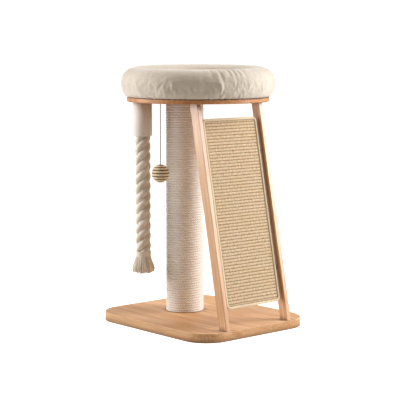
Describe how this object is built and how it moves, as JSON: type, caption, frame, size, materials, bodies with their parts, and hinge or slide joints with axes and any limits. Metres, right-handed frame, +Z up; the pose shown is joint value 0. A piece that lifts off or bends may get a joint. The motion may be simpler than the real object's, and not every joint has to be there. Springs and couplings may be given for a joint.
{
  "type": "cat tree",
  "caption": "Cat tree: rounded base, rope-wound post, slanted sisal ramp between wooden rails, hanging rope and ball, and a round padded bed on a disc-shaped top board.",
  "frame": {"origin": "centre of the base board's underside, on the floor", "axes": "+Z up, +X across the ramp, and the ramp faces -Y"},
  "size_m": [0.406, 0.45, 0.6823],
  "materials": {
    "base_wood": "light matt wood veneer",
    "top_wood": "light matt wood veneer",
    "rail_wood": "light sanded solid wood",
    "plug_wood": "sawn softwood",
    "panel_ply": "thin plywood",
    "cardboard_tube": "spiral wound board",
    "post_rope": "wound natural rope, cream",
    "zinc_steel": "zinc plated",
    "sisal_cloth": "ribbed woven sisal, golden beige",
    "binding_cloth": "folded cotton tape, light beige",
    "sleeve_cloth": "smooth off-white cloth",
    "cotton_rope": "three-strand cotton rope, cream",
    "whipping_cord": "fine wound thread, cream",
    "tassel_yarn": "loose cotton yarns, cream",
    "grey_string": "thin round cord, grey green",
    "ball_plastic": "light hollow-looking toy ball",
    "ball_cord": "wound cord, cream with dark brown lines",
    "hook_tape": "hook tape",
    "loop_tape": "loop tape",
    "bed_floor_cloth": "woven lining cloth",
    "bed_cloth": "soft brushed cloth, cream",
    "bed_pad_cloth": "short plush, off-white"
  },
  "bodies": {
    "frame": {"base_board": "base_wood", "top_board": "top_wood", "post_core": "cardboard_tube", "post_wrap": "post_rope", "post_plug_base": "plug_wood", "post_plug_top": "plug_wood", "post_insert_base": "zinc_steel", "post_insert_top": "zinc_steel", "post_bolt_base": "zinc_steel", "post_bolt_top": "zinc_steel", "post_washers": "zinc_steel", "rail_left": "rail_wood", "rail_right": "rail_wood", "rail_screws_base": "zinc_steel", "rail_screws_top": "zinc_steel", "panel_board": "panel_ply", "panel_sisal": "sisal_cloth", "panel_binding": "binding_cloth", "panel_pins": "zinc_steel", "sleeve_tube": "cardboard_tube", "sleeve_cover": "sleeve_cloth", "sleeve_plug": "plug_wood", "sleeve_screw": "zinc_steel", "rope_top": "cotton_rope", "string_knot": "grey_string", "bed_hook_patches": "hook_tape"},
    "rope_neck": {"rope_upper": "cotton_rope"},
    "rope": {"rope_lower": "cotton_rope", "rope_whipping": "whipping_cord", "rope_tassel": "tassel_yarn"},
    "string_neck": {"string_upper": "grey_string"},
    "ball": {"string_lower": "grey_string", "ball_core": "ball_plastic", "ball_winding": "ball_cord"},
    "bed": {"bed_loop_patches": "loop_tape", "bed_floor": "bed_floor_cloth", "bed_bolster": "bed_cloth", "bed_pad": "bed_pad_cloth"}
  },
  "joints": [
    {"name": "rope_swing_x", "type": "hinge", "parent": "frame", "child": "rope_neck", "pos_m": [-0.101, 0.124, 0.493], "axis": [0, 1, 0], "range_deg": [-4, 25]},
    {"name": "rope_swing_y", "type": "hinge", "parent": "rope_neck", "child": "rope", "pos_m": [-0.101, 0.124, 0.455], "axis": [1, 0, 0], "range_deg": [-2, 25]},
    {"name": "ball_swing_x", "type": "hinge", "parent": "frame", "child": "string_neck", "pos_m": [-0.104, 0.046, 0.592], "axis": [0, 1, 0], "range_deg": [-7, 30]},
    {"name": "ball_swing_y", "type": "hinge", "parent": "string_neck", "child": "ball", "pos_m": [-0.104, 0.046, 0.562], "axis": [1, 0, 0], "range_deg": [-30, 6]},
    {"name": "bed_lift", "type": "slide", "parent": "frame", "child": "bed", "axis": [0, 0, 1], "range_m": [0, 0.12]}
  ]
}
